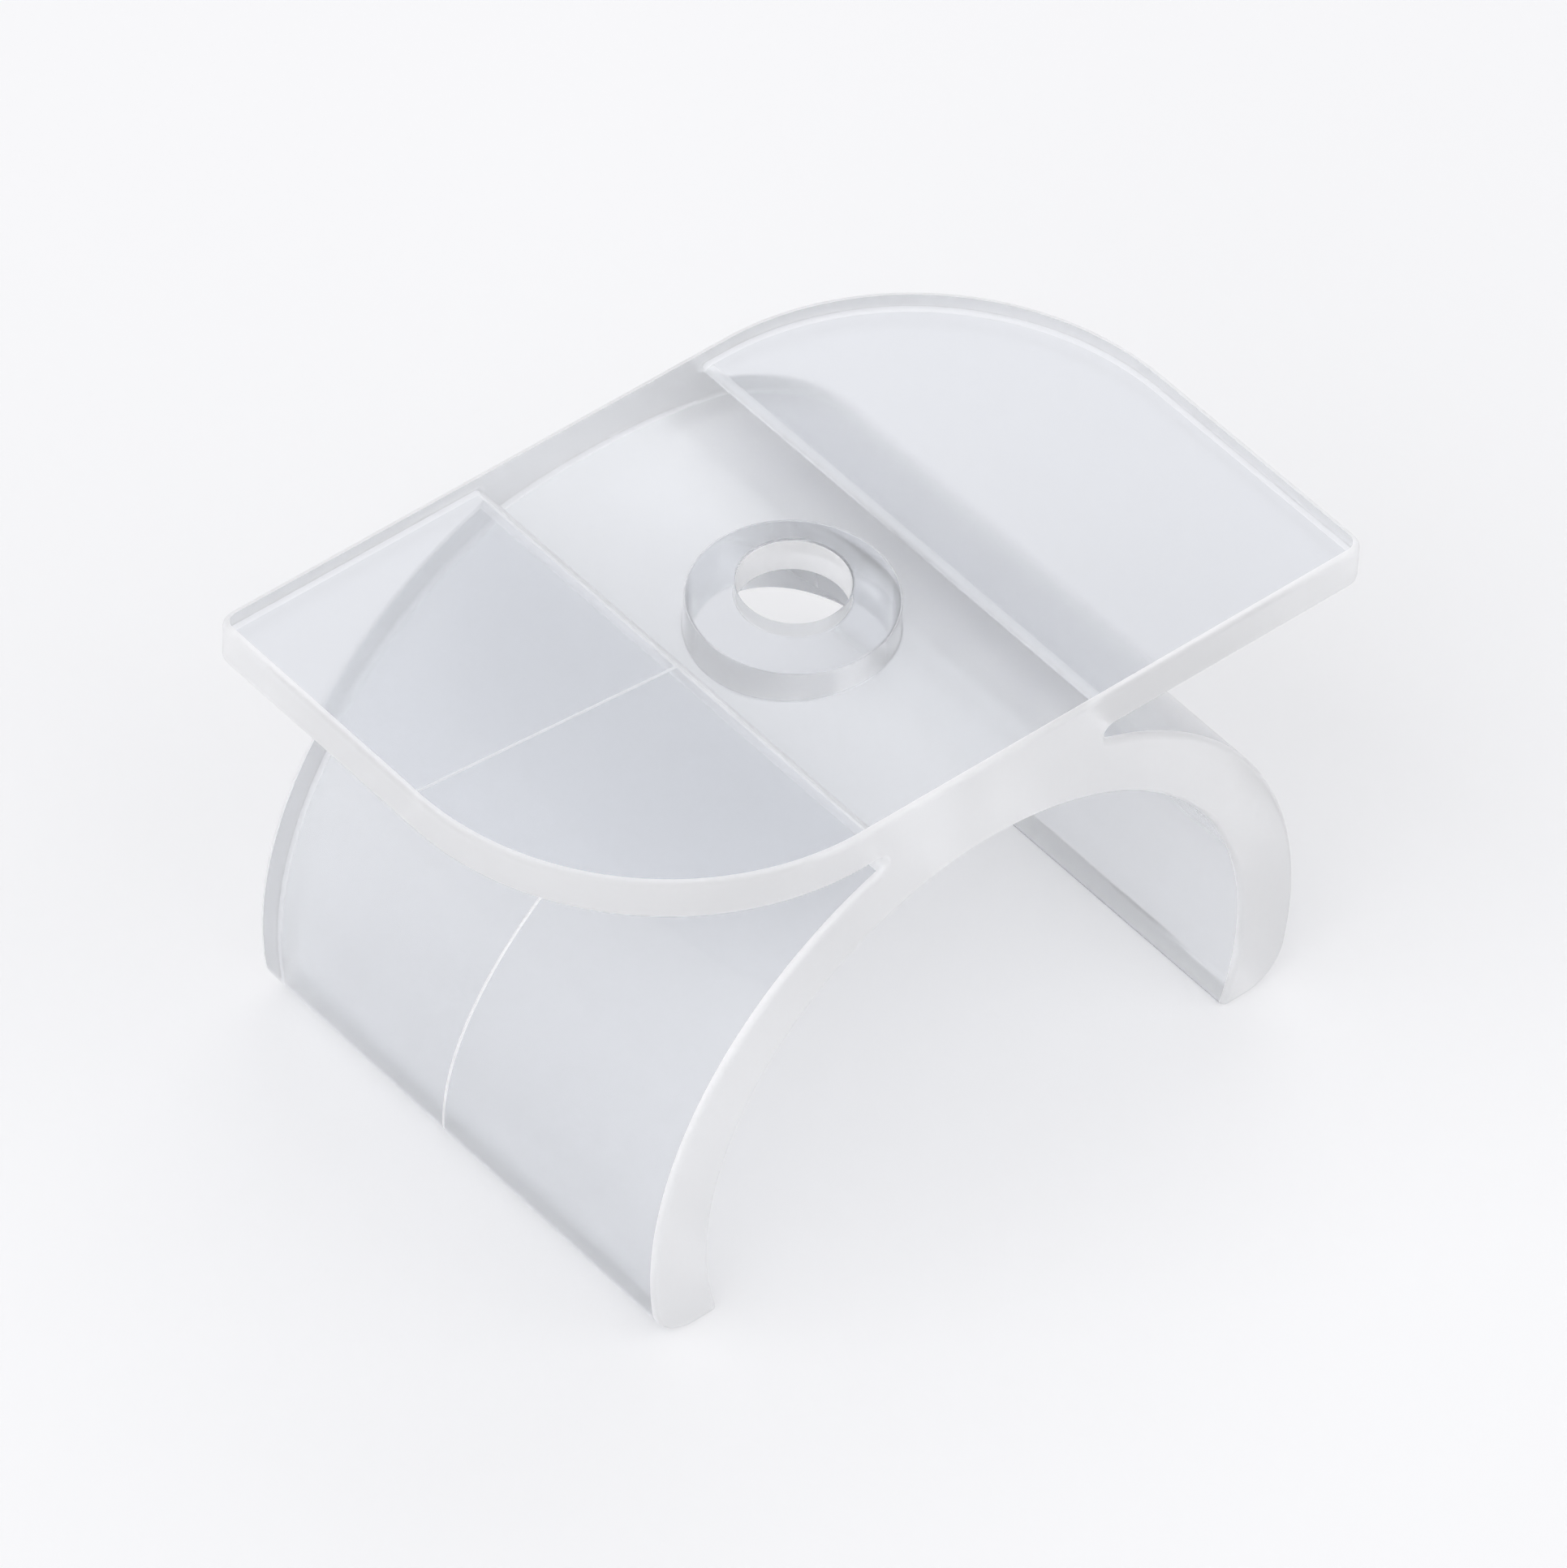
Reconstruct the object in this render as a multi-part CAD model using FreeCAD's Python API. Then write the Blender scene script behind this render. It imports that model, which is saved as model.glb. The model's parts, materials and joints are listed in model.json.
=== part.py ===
import FreeCAD, Part
import math
import os

from FreeCAD import Vector

# Snap clip, injection moulded in one piece from clear plastic.
# An open ring grips with two springy lips. A flat base plate with two wings is moulded onto the
# ring's crown, and one pan-head screw, put in from inside the ring, holds it to a surface.
# Frame in millimetres: origin on the ring's axis at the middle of the clip's length,
# Y along that axis, Z up through the screw hole.

# Ring
PROFILE_DIAMETER = 20.0
RING_WALL = 2.0
CLIP_LENGTH = 17.8
LIP_DROP = 3.1
LIP_NOSE_RADIUS = 1.5

# Base plate, whose flat face stands a little above the ring's crown
PLATE_RISE = 1.2
PLATE_WIDTH = 27.6
PLATE_THICKNESS = 1.4
WING_RADIUS = 8.9
CORNER_RADIUS = 0.6
ROOT_FILLET = 0.3

# Screw hole: a straight hole through the seat that the screw's head presses on, and below the seat
# a straight recess for the head, which opens into the bore
SCREW_HOLE_DIAMETER = 3.3
SCREW_RECESS_DIAMETER = 6.2
SCREW_SEAT_THICKNESS = 1.2

# Radius that the mould leaves on every outer edge
EDGE_RADIUS = 0.2

BORE_RADIUS = PROFILE_DIAMETER / 2
RING_RADIUS = BORE_RADIUS + RING_WALL
LIP_INNER_X = math.sqrt(BORE_RADIUS ** 2 - LIP_DROP ** 2)
FACE_HEIGHT = RING_RADIUS + PLATE_RISE
UNDERSIDE_HEIGHT = FACE_HEIGHT - PLATE_THICKNESS
HALF_LENGTH = CLIP_LENGTH / 2
HALF_WIDTH = PLATE_WIDTH / 2

# The root fillet lies in the wedge between ring and plate and is tangent to both. A wing's large
# corner stays on the wing, with a short straight edge left beside the root.
ROOT_Z = UNDERSIDE_HEIGHT - ROOT_FILLET
ROOT_X = math.sqrt((RING_RADIUS + ROOT_FILLET) ** 2 - ROOT_Z ** 2)
WING_CORNER = min(WING_RADIUS, HALF_WIDTH - ROOT_X - EDGE_RADIUS)

NODE = "profile_clip"
TOLERANCE = 1e-6


def line(start, end):
    return Part.LineSegment(start, end).toShape()


def arc(start, middle, end):
    return Part.Arc(start, middle, end).toShape()


def section_point(x, z):
    """Point of the ring's cross-section, on the clip's front face."""
    return Vector(x, -HALF_LENGTH, z)


def on_circle(radius, angle):
    return section_point(radius * math.cos(angle), radius * math.sin(angle))


def mirrored(point):
    return Vector(-point.x, point.y, point.z)


def ring_section():
    """Half of the open ring's outline runs from the lip to the plate, and is mirrored in X."""
    lip_inner = section_point(LIP_INNER_X, -LIP_DROP)

    # The lip's nose is tangent to the flat end of the lip and, from inside, to the ring.
    nose_z = LIP_NOSE_RADIUS - LIP_DROP
    nose_reach = RING_RADIUS - LIP_NOSE_RADIUS
    nose_x = math.sqrt(nose_reach ** 2 - nose_z ** 2)
    nose_angle = math.atan2(nose_z, nose_x)
    nose_middle_angle = (nose_angle - math.pi / 2) / 2
    nose_start = section_point(nose_x, -LIP_DROP)
    nose_middle = section_point(
        nose_x + LIP_NOSE_RADIUS * math.cos(nose_middle_angle),
        nose_z + LIP_NOSE_RADIUS * math.sin(nose_middle_angle),
    )
    nose_end = on_circle(RING_RADIUS, nose_angle)

    root_angle = math.atan2(ROOT_Z, ROOT_X)
    root_start = on_circle(RING_RADIUS, root_angle)
    root_middle_angle = (root_angle + math.pi + math.pi / 2) / 2
    root_middle = section_point(
        ROOT_X + ROOT_FILLET * math.cos(root_middle_angle),
        ROOT_Z + ROOT_FILLET * math.sin(root_middle_angle),
    )
    root_end = section_point(ROOT_X, UNDERSIDE_HEIGHT)

    outer_middle = on_circle(RING_RADIUS, (nose_angle + root_angle) / 2)
    crown = section_point(0, BORE_RADIUS)
    half = [
        (line, lip_inner, nose_start),
        (arc, nose_start, nose_middle, nose_end),
        (arc, nose_end, outer_middle, root_start),
        (arc, root_start, root_middle, root_end),
    ]
    edges = [make(*points) for make, *points in half]
    edges += [make(*map(mirrored, points)) for make, *points in half]
    edges.append(line(root_end, mirrored(root_end)))
    edges.append(arc(lip_inner, crown, mirrored(lip_inner)))
    return Part.Face(Part.Wire(Part.__sortEdges__(edges)))


def plate_outline():
    """Rectangle with one large and one small corner on each wing; the wings are alike by a half turn."""
    def rounded_corner(x_sign, y_sign, radius):
        """Start, middle and end of a corner's arc, from the side of the plate to its end."""
        center = Vector(x_sign * (HALF_WIDTH - radius), y_sign * (HALF_LENGTH - radius), UNDERSIDE_HEIGHT)
        diagonal = radius * math.sqrt(0.5)
        return [
            center + Vector(x_sign * radius, 0, 0),
            center + Vector(x_sign * diagonal, y_sign * diagonal, 0),
            center + Vector(0, y_sign * radius, 0),
        ]

    rear_right = rounded_corner(1, 1, WING_CORNER)
    rear_left = rounded_corner(-1, 1, CORNER_RADIUS)
    front_left = rounded_corner(-1, -1, WING_CORNER)
    front_right = rounded_corner(1, -1, CORNER_RADIUS)
    edges = [arc(*corner) for corner in (rear_right, rear_left, front_left, front_right)]
    edges.append(line(rear_right[2], rear_left[2]))
    edges.append(line(rear_left[0], front_left[0]))
    edges.append(line(front_left[2], front_right[2]))
    edges.append(line(front_right[0], rear_right[0]))
    return Part.Face(Part.Wire(Part.__sortEdges__(edges)))


def screw_hole():
    """Everything the screw passes through, as one turned solid about Z, down to the ring's axis."""
    hole_radius = SCREW_HOLE_DIAMETER / 2
    recess_radius = SCREW_RECESS_DIAMETER / 2
    seat_z = FACE_HEIGHT - SCREW_SEAT_THICKNESS
    above_z = FACE_HEIGHT + SCREW_SEAT_THICKNESS
    profile = Part.makePolygon([
        Vector(0, 0, above_z),
        Vector(hole_radius, 0, above_z),
        Vector(hole_radius, 0, seat_z),
        Vector(recess_radius, 0, seat_z),
        Vector(recess_radius, 0, 0),
        Vector(0, 0, 0),
        Vector(0, 0, above_z),
    ])
    return Part.Face(profile).revolve(Vector(0, 0, 0), Vector(0, 0, 1), 360)


def is_outer_edge(edge):
    """Edges of the two end faces, of the plate's rim and of the lips' inner corners."""
    box = edge.BoundBox
    level = box.ZLength < TOLERANCE
    along_clip = level and box.XLength < TOLERANCE
    on_end_face = box.YLength < TOLERANCE and abs(abs(box.YMin) - HALF_LENGTH) < TOLERANCE
    at_root = along_clip and abs(box.XMin) < HALF_WIDTH - TOLERANCE
    on_rim = level and box.ZMin > UNDERSIDE_HEIGHT - TOLERANCE and not at_root
    on_lip = along_clip and box.ZMin < 0 and abs(abs(box.XMin) - LIP_INNER_X) < TOLERANCE
    return on_end_face or on_rim or on_lip


ring = ring_section().extrude(Vector(0, CLIP_LENGTH, 0))
plate = plate_outline().extrude(Vector(0, 0, PLATE_THICKNESS))
blank = ring.fuse(plate).removeSplitter()
rounded = blank.makeFillet(EDGE_RADIUS, [edge for edge in blank.Edges if is_outer_edge(edge)])
clip = rounded.cut(screw_hole()).Solids[0]

os.makedirs("parts", exist_ok=True)
clip.exportStep(f"parts/{NODE}.step")
box = clip.optimalBoundingBox()
print(f"{NODE}: {box.XLength:.2f} x {box.YLength:.2f} x {box.ZLength:.2f} mm, {clip.Volume:.1f} mm3, "
      f"{len(clip.Faces)} faces, valid {clip.isValid()}")
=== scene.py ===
# %% [markdown]
# # A clear snap clip
# The real clip is one injection moulding of clear plastic: an open ring that grips with two springy lips,
# a flat plate with two wings on top of it, and one hole for the screw that holds it to a surface. The
# construction model already has every size, so this lesson first loads it as a fixed frame and then gives
# the clip a clean mesh, a clear material, light and a camera.

# %% Load the frame
import json
import math

import bmesh
import bpy
from mathutils import Matrix, Vector


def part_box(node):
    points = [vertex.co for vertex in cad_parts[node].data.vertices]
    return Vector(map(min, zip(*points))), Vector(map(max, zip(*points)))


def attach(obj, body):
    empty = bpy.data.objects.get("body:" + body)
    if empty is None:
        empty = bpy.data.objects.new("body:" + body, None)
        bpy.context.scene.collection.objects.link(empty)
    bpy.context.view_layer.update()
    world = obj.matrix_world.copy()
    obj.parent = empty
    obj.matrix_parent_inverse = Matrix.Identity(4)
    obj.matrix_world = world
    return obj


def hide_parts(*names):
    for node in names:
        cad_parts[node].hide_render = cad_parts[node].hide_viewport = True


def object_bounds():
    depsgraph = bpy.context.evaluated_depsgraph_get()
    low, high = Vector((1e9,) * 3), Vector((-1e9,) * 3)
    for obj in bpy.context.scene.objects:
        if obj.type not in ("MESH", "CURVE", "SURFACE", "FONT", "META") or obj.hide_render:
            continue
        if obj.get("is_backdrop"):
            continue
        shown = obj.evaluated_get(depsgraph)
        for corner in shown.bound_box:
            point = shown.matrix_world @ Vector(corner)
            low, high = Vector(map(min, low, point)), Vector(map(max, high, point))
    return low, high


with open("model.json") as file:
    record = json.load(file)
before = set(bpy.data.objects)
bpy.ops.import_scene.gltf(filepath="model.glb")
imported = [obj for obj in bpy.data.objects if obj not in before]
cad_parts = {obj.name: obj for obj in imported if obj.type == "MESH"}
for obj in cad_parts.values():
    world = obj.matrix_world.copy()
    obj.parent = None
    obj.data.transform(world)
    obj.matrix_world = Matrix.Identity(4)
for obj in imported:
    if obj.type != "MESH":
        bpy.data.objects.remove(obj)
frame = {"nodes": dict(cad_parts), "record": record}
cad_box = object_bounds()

NODE = "profile_clip"
print("construction nodes:", sorted(frame["nodes"]))

# %% [markdown]
# ## Sizes
# What the construction model states is read from it: the overall box, the bore and the screw hole. The
# other sizes are repeated here. Blender's bevel and Boolean tools have fixed tolerances that suit shapes a
# few units across, so the mesh is modelled in millimetres and scaled to metres as its last step.

# %% Sizes in millimetres
MM = 0.001

low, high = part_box(NODE)
HALF_WIDTH = high.x / MM
HALF_LENGTH = high.y / MM
FACE_HEIGHT = high.z / MM
LIP_DROP = -low.z / MM

mounts = {mount["name"]: mount["dims"] for mount in frame["record"]["mounts"]}
BORE_RADIUS = mounts["profile_seat"]["r_mm"]
HOLE_RADIUS = mounts["screw_hole"]["r_mm"]
SEAT_THICKNESS = mounts["screw_hole"]["length_mm"]
RECESS_RADIUS = mounts["screw_head_recess"]["r_mm"]

RING_WALL = 2.0
LIP_NOSE_RADIUS = 1.5
PLATE_THICKNESS = 1.4
ROOT_FILLET = 0.3
WING_RADIUS = 8.9
CORNER_RADIUS = 0.6
EDGE_RADIUS = 0.2

RING_RADIUS = BORE_RADIUS + RING_WALL
UNDERSIDE = FACE_HEIGHT - PLATE_THICKNESS
print(f"plate {2 * HALF_WIDTH:.1f} x {2 * HALF_LENGTH:.1f} mm, bore radius {BORE_RADIUS:.1f} mm, "
      f"hole radius {HOLE_RADIUS:.2f} mm")

# %% [markdown]
# ## Arcs and straight stretches
# Seen from its end, the clip is the same all along its length, so its section comes first. A ring could be
# cut from a cylinder, but its lips have a rounded nose and its root runs into the plate in a small fillet
# that touches both, and a bevel can't reach so far into a narrow wedge. Each round stretch is therefore a
# vertex spun about the centre of its arc, and each straight stretch is a vertex extruded to its end.

# %% Arcs and straight stretches
FACET_LENGTH = 0.3
LEAST_STEPS = 14


def spun_arc(bm, start, center, angle):
    """Spins a vertex about a line along Y, anticlockwise as seen from the front; gives the arc's end."""
    pivot = Vector((center[0], start.co.y, center[1]))
    length = abs(angle) * (start.co - pivot).length
    steps = max(LEAST_STEPS, math.ceil(length / FACET_LENGTH))
    spun = bmesh.ops.spin(bm, geom=[start], cent=pivot, axis=(0, -1, 0), angle=angle, steps=steps)
    return next(part for part in spun["geom_last"] if isinstance(part, bmesh.types.BMVert))


def straight(bm, start, x, z):
    """Extrudes a vertex to a new place in the section."""
    end = bmesh.ops.extrude_vert_indiv(bm, verts=[start])["verts"][0]
    end.co = (x, start.co.y, z)
    return end


print(f"arcs: {LEAST_STEPS} facets or more, each {FACET_LENGTH} mm long at most")

# %% [markdown]
# ## Half of the section
# Both halves are alike, so only the right one is drawn. It starts at the inner corner of the lip. One way
# it runs up the bore to the crown, and the other way along the lip's end, round its nose, up the outside,
# through the root's fillet and along the plate's face. The centres of nose and fillet could be read off a
# drawing, but here they follow from the circles and lines that they touch, so any size can change.

# %% Half of the section
lip_inner_x = math.sqrt(BORE_RADIUS ** 2 - LIP_DROP ** 2)
lip_angle = math.atan2(-LIP_DROP, lip_inner_x)

nose_z = LIP_NOSE_RADIUS - LIP_DROP
nose_x = math.sqrt((RING_RADIUS - LIP_NOSE_RADIUS) ** 2 - nose_z ** 2)
nose_angle = math.atan2(nose_z, nose_x)

root_z = UNDERSIDE - ROOT_FILLET
root_x = math.sqrt((RING_RADIUS + ROOT_FILLET) ** 2 - root_z ** 2)
root_angle = math.atan2(root_z, root_x)

axis = (0, 0)
upright = math.pi / 2
clip = bmesh.new()
lip = clip.verts.new((lip_inner_x, -HALF_LENGTH, -LIP_DROP))
spun_arc(clip, lip, axis, upright - lip_angle)
point = straight(clip, lip, nose_x, -LIP_DROP)
point = spun_arc(clip, point, (nose_x, nose_z), nose_angle + upright)
point = spun_arc(clip, point, axis, root_angle - nose_angle)
point = spun_arc(clip, point, (root_x, root_z), -root_angle - upright)
point = straight(clip, point, root_x, FACE_HEIGHT)
straight(clip, point, 0, FACE_HEIGHT)
print("half section:", len(clip.verts), "points")

# %% [markdown]
# ## Ring and plate
# The half is mirrored, filled and extruded to the clip's length. The two short upright faces beside the
# root are then pulled out to the sides, so that plate and ring share one skin, as they do in a moulding.
# Joining a separate plate by a Boolean would also work, but it leaves slivers where faces lie in one plane.

# %% Ring and plate
SAME = 1e-4

bmesh.ops.mirror(clip, geom=clip.verts[:] + clip.edges[:], matrix=Matrix(), merge_dist=SAME, axis="X")
section = bmesh.ops.edgeloop_fill(clip, edges=clip.edges[:])["faces"]
pulled = bmesh.ops.extrude_face_region(clip, geom=section)["geom"]
far_end = [part for part in pulled if isinstance(part, bmesh.types.BMVert)]
bmesh.ops.translate(clip, verts=far_end, vec=(0, 2 * HALF_LENGTH, 0))


def beside_root(face, side):
    """Whether a face is the short upright one between the root and the plate's face, on one side."""
    return all(abs(vert.co.x - side * root_x) < SAME and vert.co.z > root_z for vert in face.verts)


for side in (-1, 1):
    stub = [face for face in clip.faces if beside_root(face, side)]
    pulled = bmesh.ops.extrude_face_region(clip, geom=stub)["geom"]
    wing_tip = [part for part in pulled if isinstance(part, bmesh.types.BMVert)]
    bmesh.ops.translate(clip, verts=wing_tip, vec=(side * (HALF_WIDTH - root_x), 0, 0))
    bmesh.ops.delete(clip, geom=stub, context="FACES_ONLY")
bmesh.ops.recalc_face_normals(clip, faces=clip.faces[:])
print("ring and plate:", len(clip.faces), "faces")

# %% [markdown]
# ## Corners of the wings
# Each wing has one large round corner and one small one, and the wings are alike by a half turn. Arcs in an
# outline of the plate could give them, but the plate was pulled out of the ring, and its corners are plain
# upright edges. A bevel of such an edge with a profile of 0.5 is a true arc, so each corner is one bevel.

# %% Corners of the wings
WING_SEGMENTS = 48
CORNER_SEGMENTS = 8


def tip_edge(bm, x, y):
    """The upright edge at one corner of the plate."""
    def is_corner(vert):
        return abs(vert.co.x - x) < SAME and abs(vert.co.y - y) < SAME
    return [edge for edge in bm.edges if all(is_corner(vert) for vert in edge.verts)]


for turn in (-1, 1):
    corners = (
        (tip_edge(clip, turn * HALF_WIDTH, turn * HALF_LENGTH), WING_RADIUS, WING_SEGMENTS),
        (tip_edge(clip, turn * HALF_WIDTH, -turn * HALF_LENGTH), CORNER_RADIUS, CORNER_SEGMENTS),
    )
    for edges, radius, segments in corners:
        bmesh.ops.bevel(clip, geom=edges, offset=radius, offset_type="OFFSET", affect="EDGES",
                        segments=segments, profile=0.5, material=-1)
print("with round corners:", len(clip.faces), "faces")

# %% [markdown]
# ## Edges
# A mould can't have a perfectly sharp inner corner, so every outer edge of the clip has a small radius. On
# clear plastic this radius matters more than on anything else: it is the bright or dark line that draws
# the shape. A Bevel modifier at the end would give the screw hole the same radius, but the hole's own is
# smaller, so the edges are rounded before the hole is made. Flat neighbours are joined first, so that the
# bevel meets only real edges.

# %% Edges
FLAT_ANGLE = math.radians(0.05)
SHARP_ANGLE = math.radians(30)
EDGE_SEGMENTS = 4

bmesh.ops.dissolve_limit(clip, angle_limit=FLAT_ANGLE, verts=clip.verts[:], edges=clip.edges[:])
clip.normal_update()
sharp = [edge for edge in clip.edges if edge.calc_face_angle(0) > SHARP_ANGLE]
bmesh.ops.bevel(clip, geom=sharp, offset=EDGE_RADIUS, offset_type="OFFSET", affect="EDGES",
                segments=EDGE_SEGMENTS, profile=0.5, material=-1)
print("rounded edges:", len(sharp), "giving", len(clip.faces), "faces")

# %% [markdown]
# ## Pin for the screw hole
# The screw goes in from inside the ring: its head lies in a round recess and presses on a flat seat, and
# its shank leaves through the straight hole in that seat. The mould makes all of this with one stepped pin.
# Two cylinders could stand for it, but they would have to be joined first, so the pin is spun in one go
# from the outline of its half.

# %% Pin for the screw hole
HOLE_STEPS = 96
PIN_OVERRUN = 1.0


def spun_pin(profile):
    """A solid of revolution about Z, from the points of its radius and height."""
    bm = bmesh.new()
    verts = [bm.verts.new((radius, 0, height)) for radius, height in profile]
    edges = [bm.edges.new(pair) for pair in zip(verts, verts[1:])]
    bmesh.ops.spin(bm, geom=verts + edges, cent=(0, 0, 0), axis=(0, 0, 1), angle=math.tau,
                   steps=HOLE_STEPS, use_merge=True)
    bmesh.ops.remove_doubles(bm, verts=bm.verts[:], dist=SAME)
    bmesh.ops.recalc_face_normals(bm, faces=bm.faces[:])
    return bm


def mesh_object(name, bm):
    """A new object in the scene from a bmesh, which is freed."""
    mesh = bpy.data.meshes.new(name)
    bm.to_mesh(mesh)
    bm.free()
    made = bpy.data.objects.new(name, mesh)
    bpy.context.scene.collection.objects.link(made)
    return made


SEAT_HEIGHT = FACE_HEIGHT - SEAT_THICKNESS
pin = mesh_object("screw_hole_pin", spun_pin([
    (0, FACE_HEIGHT + PIN_OVERRUN),
    (HOLE_RADIUS, FACE_HEIGHT + PIN_OVERRUN),
    (HOLE_RADIUS, SEAT_HEIGHT),
    (RECESS_RADIUS, SEAT_HEIGHT),
    (RECESS_RADIUS, BORE_RADIUS - RECESS_RADIUS),
    (0, BORE_RADIUS - RECESS_RADIUS),
]))
print("pin:", len(pin.data.polygons), "faces")

# %% [markdown]
# ## Screw hole
# The pin is taken away from the clip. A hole could also be knifed into the plate by hand, but it ends in
# the curved bore, and a Boolean modifier finds that edge by itself. Where a facet of the pin ends almost on
# a facet of the bore, the Boolean leaves a sliver that would show as a scratch, so points that lie closer
# than any real detail are merged. The Boolean's points come in another order each time, so they are sorted
# by place first, and every run keeps the same ones.

# %% Screw hole
SLIVER = 0.015

blank = mesh_object("clip_blank", clip)
cut = blank.modifiers.new("screw_hole", "BOOLEAN")
cut.operation = "DIFFERENCE"
cut.solver = "EXACT"
cut.object = pin
drilled = bpy.data.meshes.new_from_object(blank.evaluated_get(bpy.context.evaluated_depsgraph_get()))
clip = bmesh.new()
clip.from_mesh(drilled)
by_place = sorted(clip.verts, key=lambda vert: vert.co[:])
bmesh.ops.remove_doubles(clip, verts=by_place, dist=SLIVER)
for used in (blank, pin):
    bpy.data.objects.remove(used)
print("drilled:", len(clip.faces), "faces,", len(drilled.vertices) - len(clip.verts), "points merged")
bpy.data.meshes.remove(drilled)

# %% [markdown]
# ## Rims of the hole
# The pin leaves sharp edges where it meets the plate's face, the seat and the bore, and no moulded edge is
# quite sharp: a hair of a radius catches the light all round. Every sharp edge of the mesh could be
# bevelled at once, but the hole's radius is smaller than that of the outer edges, so its rims are found by
# where they lie and get a bevel of their own.

# %% Rims of the hole
RIM_RADIUS = 0.08
RIM_SEGMENTS = 3
NEAR = 0.02


def on_rim(edge):
    """Whether an edge is a sharp one on the wall of the hole or of the recess."""
    middle = (edge.verts[0].co + edge.verts[1].co) / 2
    reach = math.hypot(middle.x, middle.y)
    on_hole = abs(reach - HOLE_RADIUS) < NEAR
    on_recess = abs(reach - RECESS_RADIUS) < NEAR
    return edge.calc_face_angle(0) > SHARP_ANGLE and (on_hole or on_recess)


rims = [edge for edge in clip.edges if on_rim(edge)]
bmesh.ops.bevel(clip, geom=rims, offset=RIM_RADIUS, offset_type="OFFSET", affect="EDGES",
                segments=RIM_SEGMENTS, profile=0.5, material=-1)
print("rim edges:", len(rims))

# %% [markdown]
# ## Raising a flow line
# Where two streams of molten plastic meet in a mould, they leave a fine rough line. A texture could only
# fake it. Three cuts by a plane and a small push along the normals make it a real ridge, which bends the
# light as the real one does. Its ends stay level with the surface, so a long crest is divided first, or it
# would rise like a tent over its whole length. The long faces beside it are triangulated, so that they bend
# where they should. The ridge's faces get the number of the frosted finish at once, because only here is it
# known which faces they are.

# %% Raising a flow line
POLISHED, FROSTED, GROUND = 0, 1, 2
LINE_WIDTH = 0.1
LINE_RISE = 0.025
LONG_CREST = 1.0
CREST_CUTS = 11
QUAD_CORNERS = 4


def raise_line(bm, on_surface, place, across):
    """Raises a frosted ridge where a plane cuts a surface, and gives the number of points on its crest."""
    place = Vector(place)
    across = Vector(across).normalized()

    def in_plane(vert):
        return abs((vert.co - place).dot(across)) < SAME

    def is_long_crest(edge):
        in_surface = all(on_surface(face) for face in edge.link_faces)
        return in_surface and all(in_plane(vert) for vert in edge.verts) and edge.calc_length() > LONG_CREST

    for offset in (-LINE_WIDTH / 2, 0, LINE_WIDTH / 2):
        faces = [face for face in bm.faces if on_surface(face)]
        edges = {edge for face in faces for edge in face.edges}
        verts = {vert for face in faces for vert in face.verts}
        bmesh.ops.bisect_plane(bm, geom=[*faces, *edges, *verts], dist=SAME,
                               plane_co=place + across * offset, plane_no=across)
    bmesh.ops.subdivide_edges(bm, edges=[edge for edge in bm.edges if is_long_crest(edge)], cuts=CREST_CUTS)
    bm.normal_update()
    crest = {vert for vert in bm.verts
             if in_plane(vert) and all(on_surface(face) for face in vert.link_faces)}
    for vert in crest:
        vert.co += vert.normal * LINE_RISE
    ridge = [face for face in bm.faces if not crest.isdisjoint(face.verts)]
    for face in ridge:
        face.material_index = FROSTED
    many_sided = [face for face in ridge if len(face.verts) > QUAD_CORNERS]
    bmesh.ops.triangulate(bm, faces=many_sided, quad_method="BEAUTY", ngon_method="BEAUTY")
    return len(crest)


print(f"flow lines: {LINE_WIDTH} mm wide and {LINE_RISE} mm high")

# %% [markdown]
# ## Flow lines
# The clip shows two of them: one across the underside of the left wing and one down the left side of the
# ring, both a little slanted. They could be modelled by hand on single faces, but the cut takes whatever
# faces a surface happens to have. So each surface is a small test of a face's place, which keeps its line
# off all the others.

# %% Flow lines
WING_LINE_SLANT = 0.078
WING_LINE_ROOT_Y = 0.05
RING_LINE_SLANT = 0.15
RING_LINE_Y = 0.35
RING_LINE_TOP = 7.5


def under_left_wing(face):
    """Whether a face lies on the underside of the left wing."""
    middle = face.calc_center_bounds()
    return middle.x < -root_x and abs(middle.z - UNDERSIDE) < NEAR


def left_of_ring(face):
    """Whether a face lies on the left side of the ring's outside."""
    middle = face.calc_center_bounds()
    on_ring = abs(math.hypot(middle.x, middle.z) - RING_RADIUS) < NEAR
    return on_ring and middle.x < 0 and middle.z < RING_LINE_TOP


wing_place = (-root_x, -WING_LINE_ROOT_Y, UNDERSIDE)
ring_place = (-RING_RADIUS, RING_LINE_Y, 0)
wing_points = raise_line(clip, under_left_wing, wing_place, (WING_LINE_SLANT, 1, 0))
ring_points = raise_line(clip, left_of_ring, ring_place, (0, 1, RING_LINE_SLANT))
print("points on the crests:", wing_points, "on the wing and", ring_points, "on the ring")

# %% [markdown]
# ## Finishes
# The mould is polished where the plastic should be clear: both sides of the plate, the outside of the ring
# and the recess. The end faces, the plate's rim with its rounded edges and the small hole's wall are left
# as spark erosion cut them, and look frosted. The core that forms the bore is only fine-ground, so it blurs
# what is seen through it. The two roots are alike in the mould. The frosted finish scatters the key light
# from the left as a real pale line, but it is given to the left root only, on the lit side, so the line is
# partly a painted highlight; the right root, on the shaded side, gets the ground finish. A mask texture
# could tell the finishes apart, but their borders are edges of the mesh. So each face gets the number of
# its finish from its place and direction, once no cut can change the faces any more.

# %% Finishes
LEVEL = 0.985


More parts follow.
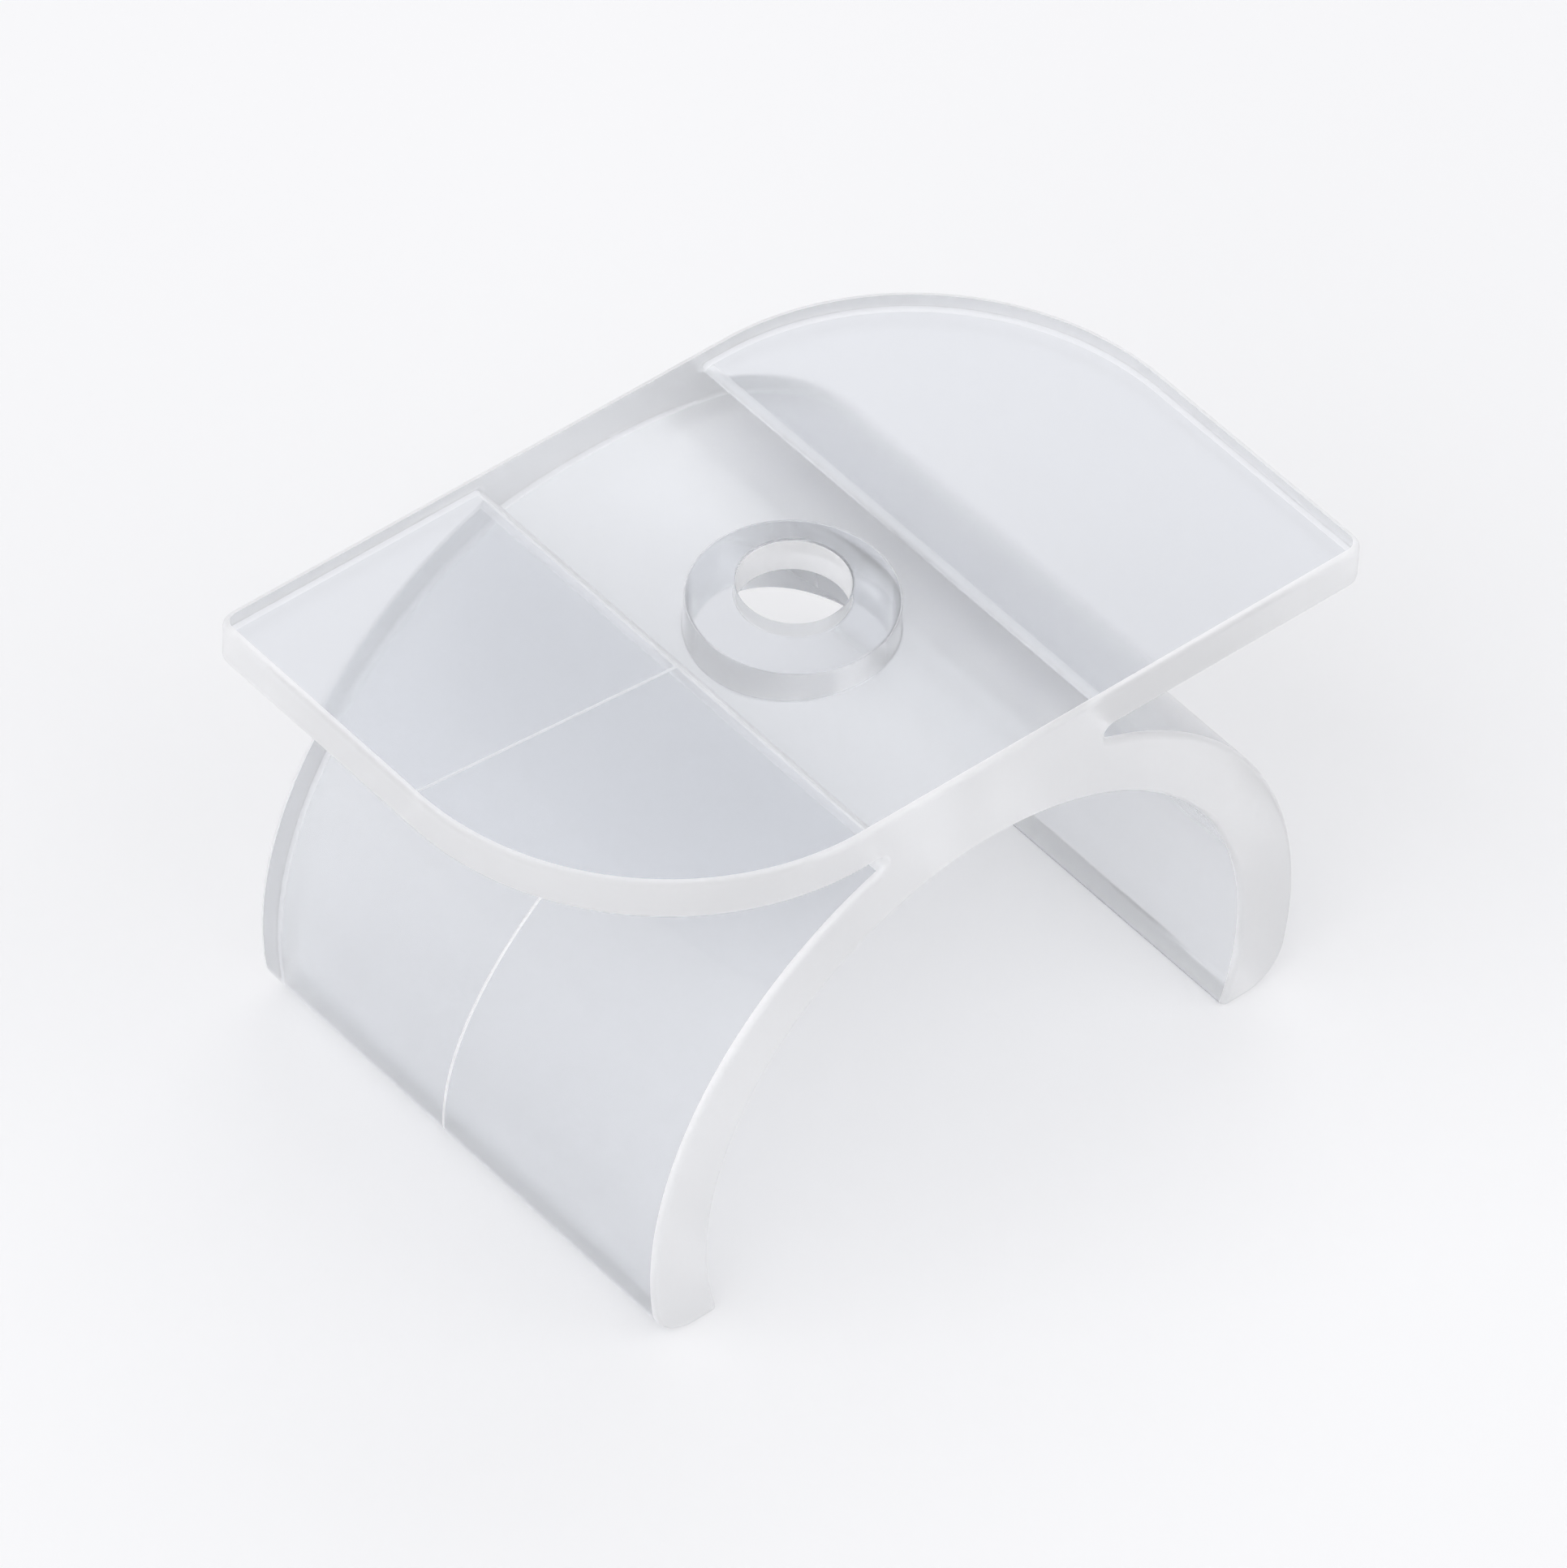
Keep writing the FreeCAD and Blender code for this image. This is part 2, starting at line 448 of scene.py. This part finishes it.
def finish_of(face):
    """The number of a face's finish, from its place and direction."""
    middle = face.calc_center_median()
    beside_hole = math.hypot(middle.x, middle.y) < RECESS_RADIUS + EDGE_RADIUS
    on_end = abs(middle.y) > HALF_LENGTH - EDGE_RADIUS
    on_plate_rim = abs(face.normal.z) < LEVEL and middle.z > UNDERSIDE and not beside_hole
    in_root = abs(math.hypot(abs(middle.x) - root_x, middle.z - root_z) - ROOT_FILLET) < NEAR
    in_hole = math.hypot(middle.x, middle.y) < HOLE_RADIUS + NEAR
    in_bore = abs(math.hypot(middle.x, middle.z) - BORE_RADIUS) < NEAR
    # Only the left root is frosted, as a painted highlight on the side that the key light reaches; the
    # right root stays ground.
    if on_end or on_plate_rim or in_hole or (in_root and middle.x < 0):
        return FROSTED
    return GROUND if in_bore or in_root else POLISHED


clip.normal_update()
for face in clip.faces:
    if face.material_index != FROSTED:
        face.material_index = finish_of(face)
numbers = [face.material_index for face in clip.faces]
counts = [numbers.count(finish) for finish in (POLISHED, FROSTED, GROUND)]
print("polished, frosted and ground faces:", counts)

# %% [markdown]
# ## The finished clip
# Smooth shading on a mesh with large flat faces bends their normals near the edges, and clear plastic
# shows that at once as warped refraction. A Weighted Normal modifier counts each face by its area, so flats
# stay flat and only the small radii turn.

# %% The finished clip
CREASE_ANGLE = math.radians(50)

bmesh.ops.scale(clip, vec=(MM, MM, MM), verts=clip.verts[:])
for face in clip.faces:
    face.smooth = True
open_edges = [edge for edge in clip.edges if not edge.is_manifold]
moulding = mesh_object("profile_clip_moulding", clip)
moulding.data.set_sharp_from_angle(angle=CREASE_ANGLE)
weighted = moulding.modifiers.new("flat_faces_stay_flat", "WEIGHTED_NORMAL")
weighted.keep_sharp = True

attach(moulding, "root")
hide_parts(NODE)
print("moulding:", len(moulding.data.polygons), "faces,", len(open_edges), "open edges")

# %% [markdown]
# ## Colours and nodes
# Colours are written as the eye knows them, in sRGB hex values, and one function turns them to the linear
# values that the renderer works in. A second one adds a node with its settings and links in one call, so
# that each material below reads as a list of what it is made of.

# %% Colours and nodes


def linear(hex_colour):
    """Linear red, green, blue and alpha from an sRGB hex value."""
    channels = [int(hex_colour[i:i + 2], 16) / 255 for i in (1, 3, 5)]
    return [c / 12.92 if c <= 0.04045 else ((c + 0.055) / 1.055) ** 2.4 for c in channels] + [1.0]


def add_node(tree, kind, settings=None, links=None):
    """Adds a node, sets its properties or input values, and links its inputs to other nodes' outputs."""
    node = tree.nodes.new(kind)
    for name, value in (settings or {}).items():
        if isinstance(name, int) or name in node.inputs:
            node.inputs[name].default_value = value
        else:
            setattr(node, name, value)
    for name, output in (links or {}).items():
        tree.links.new(output, node.inputs[name])
    return node


def new_material(name):
    """An empty material, with its node tree."""
    material = bpy.data.materials.new(name)
    material.use_nodes = True
    material.node_tree.nodes.clear()
    return material, material.node_tree


print("a middle grey of #808080 is linear", round(linear("#808080")[0], 3))

# %% [markdown]
# ## Clear polycarbonate
# The clip is polycarbonate, the usual plastic for clear snap fits, because it bends without cracking. Its
# index of refraction is 1.585. A Glass shader would be the plain choice, but a moulding is never as clear
# as glass: it takes a share of the light at each wall and scatters another, which makes it a little milky.
# Principled does both, by its base colour and by a transmission weight under 1.
#
# A path tracer's shadow rays don't bend in plastic, so the clip would cast the shadow of a solid block.
# For a shadow ray the plastic is therefore a Transparent shader. A wall has two skins, and the ray loses
# its light only at the one where it enters, so that a point inside the wall is lit in full.

# %% Clear polycarbonate
POLYCARBONATE_IOR = 1.585
LIGHT_LET_IN = 0.22
GRAIN_DETAIL = 2.0
NOISE_LOW = 0.3
NOISE_HIGH = 0.7
UNEVEN_GLOSS = 0.15


def clear_polycarbonate(name, colour, roughness, clarity, grain, depth):
    """Clear plastic as one finish of the mould leaves it; grain and depth of relief are in millimetres."""
    material, tree = new_material(name)
    place = add_node(tree, "ShaderNodeTexCoord")
    texture = add_node(tree, "ShaderNodeTexNoise", {"Scale": 1 / (grain * MM), "Detail": GRAIN_DETAIL},
                       {"Vector": place.outputs["Object"]})
    relief = add_node(tree, "ShaderNodeBump", {"Strength": 1.0, "Distance": depth * MM},
                      {"Height": texture.outputs["Fac"]})
    gloss = add_node(tree, "ShaderNodeMapRange", {
        "From Min": NOISE_LOW,
        "From Max": NOISE_HIGH,
        "To Min": roughness * (1 - UNEVEN_GLOSS),
        "To Max": roughness * (1 + UNEVEN_GLOSS),
    }, {"Value": texture.outputs["Fac"]})
    shader = add_node(tree, "ShaderNodeBsdfPrincipled", {
        "Base Color": linear(colour),
        "IOR": POLYCARBONATE_IOR,
        "Transmission Weight": clarity,
    }, {"Roughness": gloss.outputs["Result"], "Normal": relief.outputs["Normal"]})
    path = add_node(tree, "ShaderNodeLightPath")
    side = add_node(tree, "ShaderNodeNewGeometry")
    kept = add_node(tree, "ShaderNodeMapRange", {"To Min": LIGHT_LET_IN, "To Max": 1.0},
                    {"Value": side.outputs["Backfacing"]})
    lit_through = add_node(tree, "ShaderNodeBsdfTransparent", None, {"Color": kept.outputs["Result"]})
    surface = add_node(tree, "ShaderNodeMixShader", None, {
        0: path.outputs["Is Shadow Ray"],
        1: shader.outputs["BSDF"],
        2: lit_through.outputs["BSDF"],
    })
    add_node(tree, "ShaderNodeOutputMaterial", None, {"Surface": surface.outputs["Shader"]})
    return material


mirrored = ((POLYCARBONATE_IOR - 1) / (POLYCARBONATE_IOR + 1)) ** 2
print(f"polycarbonate mirrors {mirrored:.1%} of the light that meets it square on")

# %% [markdown]
# ## The three finishes
# All three are the same plastic. What differs is the steel that it was pressed against, so only roughness,
# clarity and grain change. They are added in the order of the numbers that the faces carry.

# %% The three finishes
# Mirror-polished steel: clear and glossy. Shrinkage leaves slow swells that bend a reflection a little, and
# a cool grey tint deepens with each wall that is looked through.
moulding.data.materials.append(clear_polycarbonate(
    "clear_polycarbonate_polished", "#E5E7EB", roughness=0.1, clarity=0.9, grain=6.0, depth=0.01))

# Spark-eroded steel: a fine grain scatters the light, so rims and ends look pale and draw the outline. The
# real grain of about 0.05 mm is too fine to show, so it is drawn at 0.4 mm.
moulding.data.materials.append(clear_polycarbonate(
    "clear_polycarbonate_frosted", "#FAFAFB", roughness=0.36, clarity=0.45, grain=0.4, depth=0.01))

# Fine-ground steel: satin, with soft unevenness from the hand, so what lies behind it loses its edges.
moulding.data.materials.append(clear_polycarbonate(
    "clear_polycarbonate_ground", "#F3F4F6", roughness=0.23, clarity=0.62, grain=2.5, depth=0.01))
print("materials:", [material.name for material in moulding.data.materials])

# %% [markdown]
# ## Floor
# The clip stands on its two lips on a pale floor, which lies a hair below them, because two faces in one
# plane flicker. A square would do as well, but a disc ends equally far away on all sides, so its horizon
# has no corners.

# %% Floor
FLOOR_RADIUS = 3.0
FLOOR_SEGMENTS = 96
FLOOR_GAP = 0.00001

floor_mesh = bmesh.new()
bmesh.ops.create_circle(floor_mesh, cap_ends=True, radius=FLOOR_RADIUS, segments=FLOOR_SEGMENTS)
bmesh.ops.translate(floor_mesh, verts=floor_mesh.verts[:], vec=(0, 0, low.z - FLOOR_GAP))
floor = mesh_object("floor", floor_mesh)
floor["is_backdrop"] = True
print("floor at", round(low.z / MM, 2), "mm,", 2 * FLOOR_RADIUS, "m across")

# %% [markdown]
# ## What the eye sees
# A white ground suits clear plastic, but more light would wash the plastic out. So floor and walls have to
# look brighter than the light that they give. The Light Path node tells what kind of ray has arrived: one
# straight from the eye, one through the plastic and one that it mirrors all show something, and the others
# only gather light. A second floor for the eye alone could do the same, but a test of the ray needs only
# one floor.

# %% What the eye sees
SEEN_RAYS = ("Is Camera Ray", "Is Transmission Ray", "Is Glossy Ray")


def seen_directly(tree):
    """1 for what the eye sees, straight, in a reflection or through the plastic; 0 for scattered light."""
    path = add_node(tree, "ShaderNodeLightPath")
    seen = path.outputs[SEEN_RAYS[0]]
    for ray in SEEN_RAYS[1:]:
        either = add_node(tree, "ShaderNodeMath", {"operation": "MAXIMUM"}, {0: seen, 1: path.outputs[ray]})
        seen = either.outputs["Value"]
    return seen


print("rays that show something:", ", ".join(SEEN_RAYS))

# %% [markdown]
# ## White card
# The floor is matt card, which reflects nearly all light evenly and has next to no gloss. A floor that only
# glows would be simpler, but it holds no shadow, so a little glow is added to the card. It grows with
# distance, until the card runs into the walls.

# %% White card
CARD_ROUGHNESS = 0.9
CARD_GLOSS = 0.1
GLOW_NEAR = 0.05
GLOW_FAR = 0.34
FADE_START = 0.2
FADE_END = 1.5


def matt_card(name):
    """White card that looks a little brighter than it is lit, and more so far away from the clip."""
    material, tree = new_material(name)
    card = add_node(tree, "ShaderNodeBsdfPrincipled", {
        "Base Color": linear("#F6F6F7"),
        "Roughness": CARD_ROUGHNESS,
        "Specular IOR Level": CARD_GLOSS,
    })
    place = add_node(tree, "ShaderNodeTexCoord")
    reach = add_node(tree, "ShaderNodeVectorMath", {"operation": "LENGTH"}, {0: place.outputs["Object"]})
    fade = add_node(tree, "ShaderNodeMapRange", {
        "interpolation_type": "SMOOTHSTEP",
        "From Min": FADE_START,
        "From Max": FADE_END,
        "To Min": GLOW_NEAR,
        "To Max": GLOW_FAR,
    }, {"Value": reach.outputs["Value"]})
    glow = add_node(tree, "ShaderNodeMath", {"operation": "MULTIPLY"}, {
        0: fade.outputs["Result"],
        1: seen_directly(tree),
    })
    light = add_node(tree, "ShaderNodeEmission", None, {"Strength": glow.outputs["Value"]})
    both = add_node(tree, "ShaderNodeAddShader", None, {
        0: card.outputs["BSDF"],
        1: light.outputs["Emission"],
    })
    add_node(tree, "ShaderNodeOutputMaterial", None, {"Surface": both.outputs["Shader"]})
    return material


floor.data.materials.append(matt_card("matt_white_card"))
print("card:", floor.data.materials[0].name)

# %% [markdown]
# ## Walls
# Clear plastic shows its surroundings more than itself, so the walls of the studio matter as much as its
# lamps. A picture of a real studio could stand there, but every window in it would show in the plastic.
# These walls are plain and pale all round. They light the clip gently, and the eye sees them almost white,
# by the same test of the ray as on the floor.

# %% Walls
WALL_LIGHT = 0.68
WALL_SEEN = 0.92

world = bpy.data.worlds.new("studio")
bpy.context.scene.world = world
world.use_nodes = True
tree = world.node_tree
tree.nodes.clear()
lit = add_node(tree, "ShaderNodeBackground", {"Color": linear("#ECECEE"), "Strength": WALL_LIGHT})
looked_at = add_node(tree, "ShaderNodeBackground", {"Color": linear("#FAFAFB"), "Strength": WALL_SEEN})
walls = add_node(tree, "ShaderNodeMixShader", None, {
    0: seen_directly(tree),
    1: lit.outputs["Background"],
    2: looked_at.outputs["Background"],
})
add_node(tree, "ShaderNodeOutputWorld", None, {"Surface": walls.outputs["Shader"]})
print("walls: light", WALL_LIGHT, "and look", WALL_SEEN)

# %% [markdown]
# ## Lamps
# Three broad softboxes add direction: the key from the left lights the ring's side and the left rims, the
# fill lights the near ends, and the rim light draws the far edges. Small strong lamps would do so as well,
# but their shadows would be hard. The glossy plate mirrors whatever stands across from the eye, and a
# strong lamp there would bleach it. So the key and the fill are kept out of reflections, and only the weak
# rim light leaves its sheen on the plate.

# %% Lamps


def direction(azimuth, elevation):
    """Direction from the clip, at an angle in degrees from -Y towards +X and another above the floor."""
    a = math.radians(azimuth)
    e = math.radians(elevation)
    return Vector((math.sin(a) * math.cos(e), -math.cos(a) * math.cos(e), math.sin(e)))


def softbox(name, azimuth, elevation, distance, size, power, reflected):
    """A square area lamp that looks at the clip; distance and size are in metres, power in watts."""
    lamp = bpy.data.lights.new(name, "AREA")
    lamp.size = size
    lamp.energy = power
    toward = direction(azimuth, elevation)
    made = bpy.data.objects.new(name, lamp)
    made.location = toward * distance
    made.rotation_euler = toward.to_track_quat("Z", "Y").to_euler()
    made.visible_glossy = reflected
    bpy.context.scene.collection.objects.link(made)
    return made


lamps = (
    softbox("key_softbox", azimuth=-85, elevation=35, distance=0.8, size=1.1, power=3.9, reflected=False),
    softbox("fill_softbox", azimuth=20, elevation=35, distance=0.8, size=0.9, power=1.7, reflected=False),
    softbox("rim_softbox", azimuth=125, elevation=40, distance=0.8, size=0.6, power=0.9, reflected=True),
)
print("lamps:", [lamp.name for lamp in lamps])

# %% [markdown]
# ## Camera
# The camera looks down on the clip's left front corner, as in the photograph. Its angles, distance and lens
# come from a fit to the clip's edges there: parallel edges hardly run together, so the lens is long. The
# picture is tilted a little, which is a roll about the line of sight. A picture that is shown as it is lit
# needs the Standard view transform.

# %% Camera
VIEW_AZIMUTH = -42.26
VIEW_ELEVATION = 45.83
VIEW_DISTANCE = 0.4267
VIEW_ROLL = 2.96
LENS = 340.0
SENSOR_WIDTH = 36.0
SEEN_FROM = 0.01
SEEN_TO = 20.0

lens = bpy.data.cameras.new("camera")
lens.lens = LENS
lens.sensor_width = SENSOR_WIDTH
lens.clip_start = SEEN_FROM
lens.clip_end = SEEN_TO
camera = bpy.data.objects.new("camera", lens)
camera.location = direction(VIEW_AZIMUTH, VIEW_ELEVATION) * VIEW_DISTANCE
aim = (low + high) / 2
look = (aim - camera.location).to_track_quat("-Z", "Y")
camera.rotation_euler = (look.to_matrix() @ Matrix.Rotation(math.radians(VIEW_ROLL), 3, "Z")).to_euler()
bpy.context.scene.collection.objects.link(camera)
bpy.context.scene.camera = camera
bpy.context.scene.view_settings.view_transform = "Standard"
print(f"camera {VIEW_DISTANCE:.3f} m from the clip, lens {LENS:.0f} mm")

# %% [markdown]
# ## Size
# Looks must not change sizes. The construction model's box and the box of what the eye sees are measured,
# and the largest distance between their corners is printed.

# %% Size
visual_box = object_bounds()
growth = max((seen - built).length for seen, built in zip(visual_box, cad_box))
print(f"corners of the two boxes lie {growth / MM:.4f} mm apart at most")
